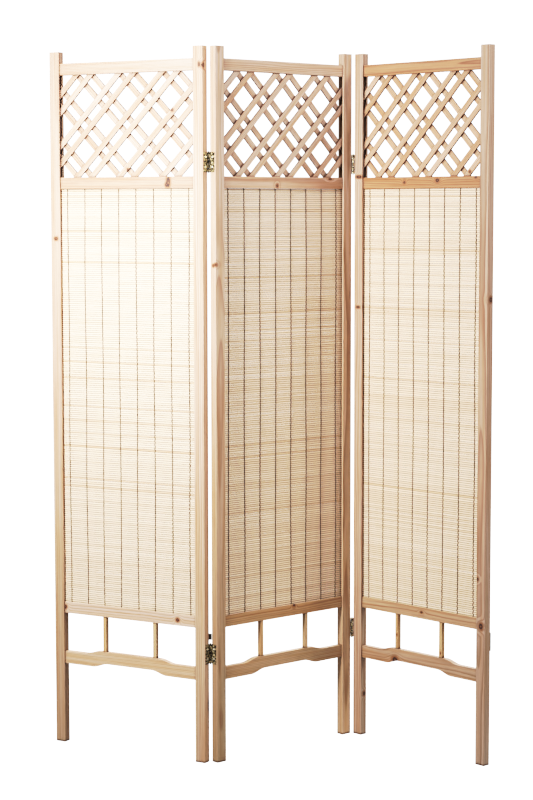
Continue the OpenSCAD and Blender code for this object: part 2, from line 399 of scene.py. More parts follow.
def make_pine_group():
    """Growth rings round the pith, fibres, blotches and knots, from a place in the timber."""
    graph, given, out = new_group(
        "pine",
        {"Grain": "Vector", "Seed": "Vector", "Pith": "Vector", "Ring width": "Float",
         "Tone": "Float", "Bulge": "Float", "Mask": "Float"},
        {"Colour": "Color", "Roughness": "Float", "Height": "Float"},
    )
    place = graph.vector("ADD", given["Grain"], given["Seed"])
    sway = graph.stretched_noise(place, SWAY_STRETCH, output="Color")
    sway = graph.vector("SUBTRACT", sway, (0.5, 0.5, 0.5))
    sway = graph.vector("MULTIPLY", sway, (0, RING_SWAY, RING_SWAY))
    from_pith = graph.vector("SUBTRACT", given["Grain"], given["Pith"])
    from_pith = graph.vector("ADD", from_pith, sway)
    from_pith = graph.vector("MULTIPLY", from_pith, (0, 1, 1))
    radius = graph.vector("LENGTH", from_pith, output="Value")
    ring = graph.math("DIVIDE", radius, given["Ring width"])
    ring = graph.math("ADD", ring, given["Bulge"])
    late = graph.ramp(graph.math("FRACT", ring), RING_PROFILE)
    number = graph.math("FLOOR", ring)
    vary = graph.node("ShaderNodeTexWhiteNoise", {"W": number}, noise_dimensions="1D").outputs[0]
    late = graph.math("MULTIPLY", late, graph.remap(vary, 0, 1, FAINTEST_RING, 1.0))

    fibre = graph.stretched_noise(place, FIBRE_STRETCH, detail=3, roughness=0.6)
    streak = graph.stretched_noise(place, STREAK_STRETCH)
    blotch = graph.stretched_noise(place, BLOTCH_STRETCH)
    colour = graph.mix(graph.math("MULTIPLY", late, 0.92), EARLYWOOD, LATEWOOD)
    colour = graph.mix(graph.remap(streak, 0.40, 0.66), colour, STREAKED, "MULTIPLY")
    pink = graph.remap(blotch, 0.45, 0.75, smooth=True)
    colour = graph.mix(pink, colour, HEARTWOOD, "MULTIPLY")
    shade = graph.remap(fibre, 0.3, 0.7, 0.84, 1.08)
    shaded = graph.node("ShaderNodeVectorMath", {0: colour, "Scale": shade}, operation="SCALE")
    colour = graph.mix(given["Tone"], shaded.outputs[0], TANNED, "MULTIPLY")
    colour = graph.mix(graph.remap(given["Mask"], 0, 0.5), colour, KNOT_HALO)
    colour = graph.mix(graph.remap(given["Mask"], 0.45, 1.0), colour, KNOT_CORE)

    height = graph.math("MULTIPLY_ADD", late, 0.5, fibre)
    height = graph.math("MULTIPLY_ADD", given["Mask"], -0.6, height)
    roughness = graph.remap(late, 0, 1, 0.66, 0.50)
    graph.feed(out, {"Colour": colour, "Roughness": roughness, "Height": height})
    return graph.tree


KNOT_GROUP = make_knot_group()
PINE_GROUP = make_pine_group()
# How high the darkening at a standing board's foot reaches and how ragged its edge is, and how near
# other wood must lie for painted shade in a crevice
FOOT_DARK_HEIGHT = 10 * MM
FOOT_DARK_RAGGED = 6 * MM
CREVICE_REACH = 8 * MM


def graded(graph, amount, reach):
    """A plain number, or a pair that changes from the board's start to reach along its grain."""
    if not isinstance(amount, tuple):
        return amount
    along = graph.node("ShaderNodeSeparateXYZ", {0: graph.attribute("grain")}).outputs[0]
    return graph.remap(along, 0, reach, amount[0], amount[1])


def pine(name, rng, tone, grey, yellow, knots, reach, crevice_shade, stands):
    """The material of one board.  A knot is (centre, size) in the board's grain axes, in mm.  A
    board that stands on the floor is darker near its foot."""
    material, graph, shader = new_material(name)
    grain = graph.attribute("grain")
    bulge, mask = 0.0, 0.0
    for knot_centre, size in knots:
        knot = graph.node("ShaderNodeGroup", {
            "Grain": grain,
            "Centre": Vector(knot_centre) * MM,
            "Size": Vector(size) * MM,
            "Bulge": bulge,
            "Mask": mask,
        }, node_tree=KNOT_GROUP)
        bulge, mask = knot.outputs["Bulge"], knot.outputs["Mask"]
    angle = rng.uniform(0, math.tau)
    from_board = rng.uniform(*PITH_DISTANCES)
    wood = graph.node("ShaderNodeGroup", {
        "Grain": grain,
        "Seed": [rng.uniform(0, 50) for _ in range(3)],
        "Pith": (0, from_board * math.cos(angle), from_board * math.sin(angle)),
        "Ring width": rng.uniform(*RING_WIDTHS_MM) * MM,
        "Tone": graded(graph, tone, reach),
        "Bulge": bulge,
        "Mask": mask,
    }, node_tree=PINE_GROUP)
    own_tone = graph.attribute("tone", "Fac")
    colour = graph.mix(own_tone, wood.outputs["Colour"], TANNED, "MULTIPLY")
    colour = graph.mix(graded(graph, grey, reach), colour, GREYED, "MULTIPLY")
    colour = graph.mix(graded(graph, yellow, reach), colour, YELLOWED, "MULTIPLY")
    # Painted shade: the colour darkens where other wood lies near, in corners, grooves and where
    # the slats cross
    nearby = graph.node("ShaderNodeAmbientOcclusion", {"Distance": CREVICE_REACH}, samples=6)
    crevice = graph.remap(nearby.outputs["AO"], 0.95, 0.60, 0, crevice_shade, smooth=True)
    stain_and_shade = graph.math("MAXIMUM", graph.attribute("stain_and_shade", "Fac"), crevice)
    # Darker towards the foot of a board that stands on the floor
    if stands:
        height = graph.node("ShaderNodeSeparateXYZ", {0: grain}).outputs[0]
        ragged = graph.math("MULTIPLY_ADD", graph.noise(grain, scale=300), FOOT_DARK_RAGGED, height)
        grime_and_foot_dark = graph.remap(ragged, FOOT_DARK_HEIGHT, FOOT_DARK_HEIGHT / 2, 0, 0.8, smooth=True)
        stain_and_shade = graph.math("MAXIMUM", stain_and_shade, grime_and_foot_dark)
    graph.feed(shader, {
        "Base Color": graph.mix(stain_and_shade, colour, STAIN_AND_SHADE_COLOUR, "MULTIPLY"),
        "Roughness": wood.outputs["Roughness"],
        "Normal": graph.bump(wood.outputs["Height"], WOOD_BUMP),
    })
    return material


# ---------------------------------------------------------------- boards

# How far the timber's edges are eased, and how long an edge must be for that
EASE = 0.9 * MM
SLAT_EASE = 0.35 * MM
SPINDLE_EASE = 0.7 * MM
SHORTEST_EDGE = 3.5 * MM
ALONG_X = Vector((1, 0, 0))
ALONG_Z = Vector((0, 0, 1))
RISING = Vector((1, 0, 1)).normalized()
FALLING = Vector((1, 0, -1)).normalized()
# Grain axes of each part: along the grain, and across its front face
GRAIN = {
    "left_post": (ALONG_Z, ALONG_X),
    "right_post": (ALONG_Z, ALONG_X),
    "top_rail": (ALONG_X, ALONG_Z),
    "middle_rail": (ALONG_X, ALONG_Z),
    "lower_rail": (ALONG_X, ALONG_Z),
    "stretcher": (ALONG_X, ALONG_Z),
    "left_spindle": (ALONG_Z, ALONG_X),
    "right_spindle": (ALONG_Z, ALONG_X),
    "front_slats": (RISING, -FALLING),
    "back_slats": (FALLING, RISING),
}
PART_EASE = {
    "left_spindle": SPINDLE_EASE,
    "right_spindle": SPINDLE_EASE,
    "front_slats": SLAT_EASE,
    "back_slats": SLAT_EASE,
}
# How tanned a panel's boards are, from 0 for pale to 1 for tan, and the boards that differ.  A
# pair is for a post that changes from its foot up to TONE_HEIGHT, or a rail that changes from its
# left end to its right.
TONE_HEIGHT = 1.3
PANEL_TONES = {"left_panel": 0.03, "middle_panel": 0.24, "right_panel": 0.30}
TONE_SPREAD = 0.08
SLAT_TONE_SPREAD = {"left_panel": 0.45, "middle_panel": 0.15, "right_panel": 0.60}
TONES = {
    "left_panel_left_post": 0.12,
    "left_panel_right_post": 0.08,
    "left_panel_top_rail": (0.50, 0.0),
    "left_panel_middle_rail": 0.45,
    "left_panel_stretcher": 0.10,
    "middle_panel_left_post": (0.12, 0.0),
    "middle_panel_right_post": 0.0,
    "middle_panel_middle_rail": 0.30,
    "middle_panel_lower_rail": (0.7, 0.30),
    "middle_panel_stretcher": (0.35, 0.15),
    "middle_panel_left_spindle": 0.0,
    "middle_panel_right_spindle": 0.0,
    "middle_panel_front_slats": 0.0,
    "middle_panel_back_slats": 0.10,
    "right_panel_top_rail": 0.90,
    "right_panel_middle_rail": 1.00,
    "right_panel_lower_rail": 0.20,
    "right_panel_stretcher": 0.20,
    "right_panel_left_post": 0.05,
    "right_panel_right_post": 0.0,
}
# How grey each board is that differs, told in the same way
GREYS = {
    "left_panel_left_post": (0.75, 0.15),
    "left_panel_right_post": (0.40, 0.0),
    "middle_panel_left_post": (1.0, 0.30),
    "middle_panel_right_post": (0.0, 0.45),
    "middle_panel_lower_rail": 0.30,
    "middle_panel_stretcher": 0.35,
    "right_panel_left_post": 0.62,
    "right_panel_right_post": 0.80,
    "right_panel_top_rail": 0.20,
    "right_panel_middle_rail": 0.25,
    "right_panel_lower_rail": 0.60,
    "right_panel_stretcher": 0.70,
}
# How yellow the sapwood of each part is, and the boards that differ
PART_YELLOWS = {"stretcher": 0.35, "left_spindle": 0.9, "right_spindle": 0.9}
YELLOWS = {
    "left_panel_left_post": (0.5, 0.0),
    "left_panel_right_post": (0.3, 0.0),
    "middle_panel_left_post": (0.7, 0.0),
    "middle_panel_right_post": (0.6, 0.1),
    "middle_panel_lower_rail": 0.8,
    "middle_panel_stretcher": 0.7,
    "right_panel_lower_rail": 0.5,
}
# How dark the timber is painted: painted shade in grooves, darker sawn edges and painted shade
# together on the slats' narrow sides, stained sawn ends, and painted shade in the crevices of posts
# and of other boards
GROOVE_SHADE = 0.10
SLAT_SIDE_STAIN_AND_SHADE = 0.97
END_STAIN = 0.30
POST_CREVICE_SHADE = 0.20
CREVICE_SHADE = 0.97
# A face further inside its board's box than this is a groove's
GROOVE_INSIDE = 0.6 * MM


def on_front_slats(x, z):
    """A place on the panel, in mm, in the grain axes of its front slats."""
    place = Vector((x, 0, z))
    return place.dot(RISING), place.dot(-FALLING), 0


# Knots of each board in mm: place along the grain (height on a post, distance from the panel's
# left side on a rail), place across and place in depth from the board's middle, then the sizes
# in the same order.  A size of 30 goes right through.
KNOTS = {
    "left_panel_left_post": [((1250, 1, -10), (4, 5, 6))],
    "left_panel_front_slats": [
        (on_front_slats(348, 1554), (3.5, 4, 30)),
        (on_front_slats(331, 1550), (3, 3, 30)),
        (on_front_slats(223, 1415), (3.5, 3.5, 30)),
    ],
    "right_panel_front_slats": [(on_front_slats(373, 1408), (3.5, 3.5, 30))],
    "left_panel_right_post": [
        ((1655, 13, -7), (6, 5, 4)),
        ((1657, 4, -10), (5, 3, 4)),
        ((137, 13, 6), (16, 4, 2.5)),
    ],
    "left_panel_middle_rail": [((338, 1, 0), (5.5, 13, 30)), ((333, -5, 0), (4, 6, 30))],
    "left_panel_lower_rail": [((30, 1, 0), (4, 4, 30)), ((358, 0, 0), (4.5, 4.5, 30))],
    "middle_panel_left_post": [
        ((1191, -13.5, -7), (4, 5, 3.2)),
        ((1189, -13.5, 0), (3.5, 5, 3)),
        ((173, 13.5, -10), (9, 1.2, 1.6)),
    ],
    "middle_panel_middle_rail": [((194, -7, 0), (3.6, 3.6, 30)), ((367, 10, -7), (5, 2.2, 3))],
    "middle_panel_lower_rail": [((248, 12, 0), (4, 4, 30))],
    "right_panel_left_post": [
        ((1400, 2, -10), (3.5, 9, 6)),
        ((1079, 0, -10), (3, 6, 5)),
        ((1079, 13, -3), (3, 4, 3)),
        ((105, 13, 2), (5, 5, 4)),
    ],
    "right_panel_right_post": [
        ((336, 1, -10), (7, 6, 12)),
        ((448, -10, -10), (4, 3, 5)),
        ((1110, 13.5, 2), (6, 5, 5)),
    ],
    "right_panel_middle_rail": [
        ((166, 1, 0), (4, 3.5, 30)),
        ((273, 5, 0), (6, 5, 30)),
        ((394, 11, 0), (4, 3, 30)),
    ],
    "right_panel_lower_rail": [((230, 2, 0), (4, 2.5, 30))],
    "right_panel_stretcher": [((142, -9, 0), (9, 8, 30))],
    "right_panel_left_spindle": [((274, 1, -5), (3, 1.6, 4))],
    "right_panel_right_spindle": [((250, 0, -5), (3, 1.6, 4))],
}


def grain_origin(part, low, high):
    """Where the grain's places are counted from: the panel's foot or side, in the middle of
    the board."""
    along, _ = GRAIN[part]
    middle = (low + high) / 2
    return Vector([0 if along[axis] else middle[axis] for axis in range(3)])


def face_darkening(data, part, low, high):
    """How dark each face of a board is painted: stained sawn ends, painted shade in grooves, and on
    the slats' narrow sides darker sawn edges together with painted shade.
    """
    along, _ = GRAIN[part]
    values = []
    for face in data.polygons:
        grooved = all(
            low[axis] + GROOVE_INSIDE < face.center[axis] < high[axis] - GROOVE_INSIDE
            for axis in range(3)
        )
        stain_and_shade = 0.0
        if abs(face.normal.dot(along)) > 0.9:
            stain_and_shade = END_STAIN
        # The slats' narrow sides: darker sawn edges and painted shade together
        if part.endswith("slats") and abs(face.normal.y) < 0.5:
            stain_and_shade = SLAT_SIDE_STAIN_AND_SHADE
        # Painted shade in the posts' and rails' grooves
        if part.endswith(("post", "rail")) and grooved:
            stain_and_shade = GROOVE_SHADE
        values.append(stain_and_shade)
    return values


def add_board(panel, part, rng):
    """One part of a panel's frame or lattice: its eased mesh and the material of its timber."""
    node = f"{panel}_{part}"
    mesh = cad_mesh(node, panel)
    low, high = extent(vertex.co for vertex in mesh.verts)
    ease_edges(mesh, PART_EASE.get(part, EASE), SHORTEST_EDGE)
    mesh.verts.index_update()
    own_tones = [0.0] * len(mesh.verts)
    if part.endswith("slats"):
        for slat in islands(mesh):
            slat_tone = rng.uniform(0, SLAT_TONE_SPREAD[panel])
            for vertex in slat:
                own_tones[vertex.index] = slat_tone
    data = to_data(mesh, node)
    add_grain(data, grain_origin(part, low, high), *GRAIN[part])
    add_attribute(data, "tone", "FLOAT", own_tones)
    add_attribute(data, "stain_and_shade", "FLOAT", face_darkening(data, part, low, high), "FACE")
    usual_tone = PANEL_TONES[panel] + rng.uniform(-TONE_SPREAD, TONE_SPREAD)
    stands = part.endswith("post")
    material = pine(
        f"pine_{node}", rng,
        tone=TONES.get(node, max(0, usual_tone)),
        grey=GREYS.get(node, 0.0),
        yellow=YELLOWS.get(node, PART_YELLOWS.get(part, 0.0)),
        knots=KNOTS.get(node, []),
        reach=TONE_HEIGHT if stands else high.x,
        crevice_shade=POST_CREVICE_SHADE if stands else CREVICE_SHADE,
        stands=stands,
    )
    piece = add_piece(f"{node}_board", data, panel, material, node)
    even_shading(piece)


def add_boards():
    rng = random.Random(11)
    for panel in PANELS:
        for part in GRAIN:
            add_board(panel, part, rng)


# ---------------------------------------------------------------- blinds

REED_PITCH = 4.95 * MM
REED_HEIGHT = 5.0 * MM
REED_DEPTH = 1.9 * MM
REED_STEPS = 12
REED_SIDES = 8
REED_ROUNDNESS = 0.9
# How much a reed differs from the next: its height, tilt, sag and bow in mm, and its thickness
REED_JITTER = 0.03
REED_TILT = 0.05
REED_SAG = 0.04
REED_BOW = 0.09
REED_GIRTHS = (1.01, 1.06)
REED_END_PLAY = 1.5 * MM
# Its colours: pale and brown cane, the clouds, streaks and specks in it, and the painted shade
# along its top and bottom edges, where it lies against the next
REED_PALE = (0.980, 0.765, 0.555, 1)
REED_BROWN = (0.600, 0.370, 0.210, 1)
REED_CLOUD = (0.780, 0.540, 0.340, 1)
REED_STREAK = (0.70, 0.49, 0.30, 1)
REED_SPECK = (0.28, 0.13, 0.05, 1)
REED_SEAM_SHADE = (0.17, 0.085, 0.038, 1)
# How brown the reeds are on average and how far that spreads, how many are browner by chance and
# by how much, and the heights in mm of reeds that are as brown as BROWN_REED_TONE
REED_TONE_SPREAD = 0.12
ODD_REED_SHARE = 0.04
ODD_REED_TONES = (0.4, 0.8)
BROWN_REED_TONE = 0.85
BLIND_TONES = {"left_panel": 0.07, "middle_panel": 0.26, "right_panel": 0.18}
BROWN_REEDS = {"left_panel": (741, 1193), "middle_panel": (1161,), "right_panel": ()}


def make_bamboo():
    """Split cane.  Each reed has its own tone, and its own place in the streaks by its seed."""
    material, graph, shader = new_material("bamboo_reeds")
    grain = graph.attribute("grain")
    seed = graph.attribute("seed", "Fac")
    shift = graph.node("ShaderNodeCombineXYZ", {0: seed, 1: seed, 2: 0.0}).outputs[0]
    place = graph.vector("ADD", grain, shift)
    streak = graph.stretched_noise(place, (14, 900, 900))
    cloud = graph.stretched_noise(place, (9, 3, 3))
    speck = graph.stretched_noise(place, (60, 300, 300), detail=1)
    height = graph.node("ShaderNodeSeparateXYZ", {0: grain}).outputs[1]
    height = graph.math("ABSOLUTE", height)
    colour = graph.mix(graph.attribute("tone", "Fac"), REED_PALE, REED_BROWN)
    clouded = graph.remap(cloud, 0.45, 0.72, 0, 0.35, smooth=True)
    colour = graph.mix(clouded, colour, REED_CLOUD)
    colour = graph.mix(graph.remap(streak, 0.4, 0.75, 0, 0.35), colour, REED_STREAK)
    # Painted shade along the reed's top and bottom edges, where it lies against the next
    seam_shade = graph.remap(height, 0.28 * REED_HEIGHT, 0.45 * REED_HEIGHT, smooth=True)
    colour = graph.mix(seam_shade, colour, REED_SEAM_SHADE)
    specked = graph.remap(speck, 0.76, 0.84, 0, 0.7, smooth=True)
    graph.feed(shader, {
        "Base Color": graph.mix(specked, colour, REED_SPECK),
        "Roughness": graph.remap(streak, 0.3, 0.7, 0.42, 0.6),
        "Normal": graph.bump(streak, 0.06 * MM),
    })
    return material


def make_thread():
    """Dark twisted yarn."""
    material, graph, shader = new_material("warp_thread")
    twist = graph.noise(graph.attribute("grain"), scale=2500, detail=1)
    graph.feed(shader, {
        "Base Color": graph.mix(twist, THREAD_DARK, THREAD_PALE),
        "Roughness": 0.9,
        "Normal": graph.bump(twist, 0.1 * MM),
    })
    return material


def reed_outline():
    """A reed's section as (depth, height) pairs: an oval with slightly squared shoulders."""
    outline = []
    for side in range(REED_SIDES):
        angle = math.tau * (side + 0.5) / REED_SIDES
        cosine, sine = math.cos(angle), math.sin(angle)
        depth = math.copysign(abs(cosine) ** REED_ROUNDNESS, cosine) * REED_DEPTH / 2
        height = math.copysign(abs(sine) ** REED_ROUNDNESS, sine) * REED_HEIGHT / 2
        outline.append((depth, height))
    return outline


def reed_heights(low, high):
    """The height of each reed's middle in a blind with these corners, from the lowest up."""
    count = int((high.z - low.z) / REED_PITCH)
    first = (low.z + high.z - (count - 1) * REED_PITCH) / 2
    return [first + reed * REED_PITCH for reed in range(count)]


def reed_tone(panel, z, rng):
    """How brown a reed is, from 0 to 1."""
    tone = min(1.0, max(0.0, rng.gauss(BLIND_TONES[panel], REED_TONE_SPREAD)))
    if rng.random() < ODD_REED_SHARE:
        tone = rng.uniform(*ODD_REED_TONES)
    if any(abs(z - brown * MM) < REED_PITCH / 2 for brown in BROWN_REEDS[panel]):
        tone = BROWN_REED_TONE
    return tone


def add_reeds(panel, material, rng):
    """The blind's reeds, each one a little bowed, tilted and cut to its own length."""
    low, high = local_box(f"{panel}_blind", panel)
    middle_y = (low.y + high.y) / 2
    outline = reed_outline()
    verts, faces, grain, tones, seeds = [], [], [], [], []
    for middle_z in reed_heights(low, high):
        z = middle_z + rng.gauss(0, REED_JITTER) * MM
        tilt = rng.gauss(0, REED_TILT) * MM
        sag = rng.gauss(0, REED_SAG) * MM
        bow = rng.gauss(0, REED_BOW) * MM
        girth = rng.uniform(*REED_GIRTHS)
        start = low.x + rng.uniform(0, 1) * REED_END_PLAY
        end = high.x - rng.uniform(0, 1) * REED_END_PLAY
        tone = reed_tone(panel, z, rng)
        seed = rng.uniform(0, 90)
        faces += tube_faces(len(verts), REED_STEPS + 1, REED_SIDES)
        for step in range(REED_STEPS + 1):
            along = step / REED_STEPS
            x = start + (end - start) * along
            lift = tilt * (along - 0.5) + sag * math.sin(math.pi * along)
            back = bow * math.sin(math.tau * along)
            for depth, height in outline:
                verts.append((x, middle_y + back + depth, z + lift + height * girth))
                grain += [x, height * girth, depth]
                tones.append(tone)
                seeds.append(seed)
    data = bpy.data.meshes.new(f"{panel}_reeds")
    data.from_pydata(verts, [], faces)
    shade_smooth(data, REED_SMOOTH_BELOW)
    add_attribute(data, "grain", "FLOAT_VECTOR", grain)
    add_attribute(data, "tone", "FLOAT", tones)
    add_attribute(data, "seed", "FLOAT", seeds)
    add_piece(f"{panel}_reeds", data, panel, material, f"{panel}_blind")


THREAD_RADIUS = 1.05 * MM
THREAD_SIDES = 4
THREAD_WANDER = 0.9 * MM
THREAD_WAVES = (1.0, 2.2)
# How far apart a warp's two strands stand, in mm, how far a strand's middle lies out from the
# reeds, in its radii, and how far it runs straight past a reed's middle, in pitches
STRANDS_APART = (0.2, 1.2)
THREAD_CLEAR = 0.7
THREAD_STRAIGHT = 0.27
THREAD_DARK = (0.028, 0.021, 0.016, 1)
THREAD_PALE = (0.075, 0.056, 0.042, 1)


def warp_columns(panel):
    """Where the warp threads run across the panel, with their lowest and highest points."""
    boxes = solid_boxes(f"{panel}_blind_threads", panel)
    return sorted(((low.x + high.x) / 2, low.z, high.z) for low, high in boxes)


def strand_route(strand, heights, middle_y, bottom, top):
    """A strand's (y, z) points: two on each reed, in front of every other reed."""
    reach = REED_DEPTH / 2 + THREAD_RADIUS * THREAD_CLEAR
    points = []
    for reed, z in enumerate(heights):
        if bottom - REED_PITCH < z < top + REED_PITCH:
            in_front = (reed + strand) % 2 == 0
            y = middle_y + (-reach if in_front else reach)
            points.append((y, z - THREAD_STRAIGHT * REED_PITCH))
            points.append((y, z + THREAD_STRAIGHT * REED_PITCH))
    return points


def add_threads(panel, material, rng):
    """Each warp is two strands that cross between reeds, one in front of every other reed."""
    low, high = local_box(f"{panel}_blind", panel)
    middle_y = (low.y + high.y) / 2
    heights = reed_heights(low, high)
    verts, faces, grain = [], [], []
    for x, bottom, top in warp_columns(panel):
        phase = rng.uniform(0, math.tau)
        waves = rng.uniform(*THREAD_WAVES)
        apart = rng.uniform(*STRANDS_APART) * MM
        for strand in (0, 1):
            route = strand_route(strand, heights, middle_y, bottom, top)
            faces += tube_faces(len(verts), len(route), THREAD_SIDES)
            for y, z in route:
                drift = math.sin(phase + waves * math.tau * (z - bottom) / (top - bottom))
                strand_x = x + drift * THREAD_WANDER + (strand - 0.5) * apart
                for side in range(THREAD_SIDES):
                    angle = math.tau * (side + 0.5) / THREAD_SIDES
                    offset = Vector((math.cos(angle), math.sin(angle), 0)) * THREAD_RADIUS
                    verts.append((strand_x + offset.x, y + offset.y, z))
                    grain += [z, offset.x, offset.y]
    data = bpy.data.meshes.new(f"{panel}_warp")
    data.from_pydata(verts, [], faces)
    shade_smooth(data, THREAD_SMOOTH_BELOW)
    add_attribute(data, "grain", "FLOAT_VECTOR", grain)
    add_piece(f"{panel}_warp", data, panel, material, f"{panel}_blind_threads")


def add_blinds():
    bamboo, thread = make_bamboo(), make_thread()
    rng = random.Random(23)
    for panel in PANELS:
        add_reeds(panel, bamboo, rng)
        add_threads(panel, thread, rng)


# ---------------------------------------------------------------- hinges

HINGE_EASE = 0.25 * MM
HINGE_SHORTEST_EDGE = 1.2 * MM
HINGE_DARK = (0.022, 0.013, 0.007, 1)
HINGE_BRIGHT = (0.900, 0.740, 0.430, 1)
HINGE_WEAR = 0.50
SCREW_DARK = (0.420, 0.330, 0.220, 1)
SCREW_BRIGHT = (0.900, 0.840, 0.740, 1)
SCREW_WEAR = 0.36
BRASS_ROUGHNESS = 0.30
SCREW_HEAD_RADIUS = 2.6 * MM
SCREW_HEAD_RISE = 0.35 * MM
SCREW_HEAD_DEPTH = 1.1 * MM
# The radii of the head's underside, crown and flat top as parts of its own, and how much of its
# rise the crown takes
SCREW_UNDER = 0.6
SCREW_CROWN = 0.88
SCREW_FLAT = 0.72
SCREW_CROWN_RISE = 0.7
RECESS_REACH = 1.5 * MM
RECESS_HALF_WIDTH = 0.36 * MM
RECESS_DEPTH = 0.8 * MM
RECESS_TAPER = 0.8
SCREW_SIDES = 32


def make_brass(name, dark, bright, wear):
    """Antique brass: a dark patina worn through to the metal in patches."""
    material, graph, shader = new_material(name)
    place = graph.attribute("grain")
    patina = graph.noise(place, scale=280, detail=3, roughness=0.6)
    worn = graph.remap(patina, wear, wear + 0.10, smooth=True)
    fine = graph.noise(place, scale=2600)
    colour = graph.mix(worn, dark, bright)
    graph.feed(shader, {
        "Base Color": graph.mix(graph.remap(fine, 0.4, 0.7, 0, 0.2), colour, dark),
        "Metallic": 0.6,
        "Roughness": graph.remap(worn, 0, 1, BRASS_ROUGHNESS + 0.15, BRASS_ROUGHNESS),
        "Normal": graph.bump(fine, 0.03 * MM),
    })
    return material


def add_hinge_metal(node, panel, material):
    """A hinge's leaf or pin, with eased edges."""
    mesh = cad_mesh(node, panel)
    low, high = extent(vertex.co for vertex in mesh.verts)
    ease_edges(mesh, HINGE_EASE, HINGE_SHORTEST_EDGE)
    data = to_data(mesh, node)
    add_grain(data, (low + high) / 2, ALONG_Z, ALONG_X)
    piece = add_piece(f"{node}_metal", data, panel, material, node)
    even_shading(piece)


def ring_of(mesh, radius, height):
    """New vertices round a screw's axis."""
    angles = [math.tau * side / SCREW_SIDES for side in range(SCREW_SIDES)]
    return [
        mesh.verts.new((radius * math.cos(angle), radius * math.sin(angle), height))
        for angle in angles
    ]


def bridge(mesh, lower, upper):
    """New faces between two loops of vertices."""
    for index in range(len(lower)):
        other = (index + 1) % len(lower)
        mesh.faces.new((lower[index], lower[other], upper[other], upper[index]))


def cross_outline():
    """The corners of a cross recess, as (x, y) pairs."""
    arm = (
        (RECESS_REACH, -RECESS_HALF_WIDTH),
        (RECESS_REACH, RECESS_HALF_WIDTH),
        (RECESS_HALF_WIDTH, RECESS_HALF_WIDTH),
    )
    corners = []
    for cosine, sine in ((1, 0), (0, 1), (-1, 0), (0, -1)):
        corners += [(x * cosine - y * sine, x * sine + y * cosine) for x, y in arm]
    return corners


def screw_head():
    """A raised countersunk head with a cross recess: its axis is Z and the plate's face z = 0."""
    mesh = bmesh.new()
    rim = ring_of(mesh, SCREW_HEAD_RADIUS, 0)
    under = ring_of(mesh, SCREW_HEAD_RADIUS * SCREW_UNDER, -SCREW_HEAD_DEPTH)
    crown = ring_of(mesh, SCREW_HEAD_RADIUS * SCREW_CROWN, SCREW_HEAD_RISE * SCREW_CROWN_RISE)
    flat = ring_of(mesh, SCREW_HEAD_RADIUS * SCREW_FLAT, SCREW_HEAD_RISE)
    mesh.faces.new(list(reversed(under)))
    bridge(mesh, under, rim)
    bridge(mesh, rim, crown)
    bridge(mesh, crown, flat)
    cross = cross_outline()
    mouth = [mesh.verts.new((x, y, SCREW_HEAD_RISE)) for x, y in cross]
    floor = [
        mesh.verts.new((x * RECESS_TAPER, y * RECESS_TAPER, SCREW_HEAD_RISE - RECESS_DEPTH))
        for x, y in cross
    ]
    bridge(mesh, floor, mouth)
    mesh.faces.new(floor)
    edges = []
    for loop in (flat, mouth):
        for index in range(len(loop)):
            pair = (loop[index], loop[(index + 1) % len(loop)])
            edges.append(mesh.edges.get(pair) or mesh.edges.new(pair))
    bmesh.ops.triangle_fill(mesh, edges=edges, use_beauty=True, use_dissolve=False)
    bmesh.ops.recalc_face_normals(mesh, faces=mesh.faces)
    return mesh


def add_screws(panel, material, rng):
    """A head at each of the panel's hinge screws, turned as a driver happened to leave it."""
    node = f"{panel}_hinge_screws"
    post_low, post_high = extent(
        corner for side in ("left", "right")
        for corner in local_box(f"{panel}_{side}_post", panel)
    )
    middle_x = (post_low.x + post_high.x) / 2
    joined = bmesh.new()
    for low, high in solid_boxes(node, panel):
        screw = (low + high) / 2
        on_left = screw.x < middle_x
        screw.x = low.x if on_left else high.x
        facing = Matrix.Rotation(math.radians(-90 if on_left else 90), 4, "Y")
        spin = Matrix.Rotation(rng.uniform(0, math.pi), 4, "Z")
        sink = Matrix.Translation((0, 0, -SCREW_HEAD_RISE))
        head = screw_head()
        head.transform(Matrix.Translation(screw) @ facing @ spin @ sink)
        data = bpy.data.meshes.new("head")
        head.to_mesh(data)
        head.free()
        joined.from_mesh(data)
        bpy.data.meshes.remove(data)
    data = to_data(joined, node)
    add_grain(data, Vector((0, 0, 0)), ALONG_Z, ALONG_X)
    add_piece(f"{panel}_screws", data, panel, material, node)


def add_hinges():
    plate = make_brass("antique_brass", HINGE_DARK, HINGE_BRIGHT, HINGE_WEAR)
    screw = make_brass("screw_brass", SCREW_DARK, SCREW_BRIGHT, SCREW_WEAR)
    rng = random.Random(31)
    for hinge in HINGES:
        outer = "left_panel" if "_left_" in hinge else "right_panel"
        add_hinge_metal(f"{hinge}_outer_leaf", outer, plate)
        add_hinge_metal(f"{hinge}_middle_leaf", "middle_panel", plate)
        add_hinge_metal(f"{hinge}_pin", "middle_panel", plate)
    for panel in PANELS:
        add_screws(panel, screw, rng)


# ---------------------------------------------------------------- bumpers

BUMPER_EASE = 0.8 * MM
BUMPER_SHORTEST_EDGE = 2 * MM
RUBBER_DARK = (0.008, 0.008, 0.009, 1)
RUBBER_GRIMY = (0.026, 0.024, 0.023, 1)


def make_rubber():
    """Black rubber, a little dusty."""
    material, graph, shader = new_material("rubber")
    grime_and_foot_dark = graph.noise(graph.attribute("grain"), scale=900, detail=3)
    graph.feed(shader, {
        "Base Color": graph.mix(grime_and_foot_dark, RUBBER_DARK, RUBBER_GRIMY),
        "Roughness": graph.remap(grime_and_foot_dark, 0.3, 0.7, 0.5, 0.75),
        "Normal": graph.bump(grime_and_foot_dark, 0.05 * MM),
    })
    return material


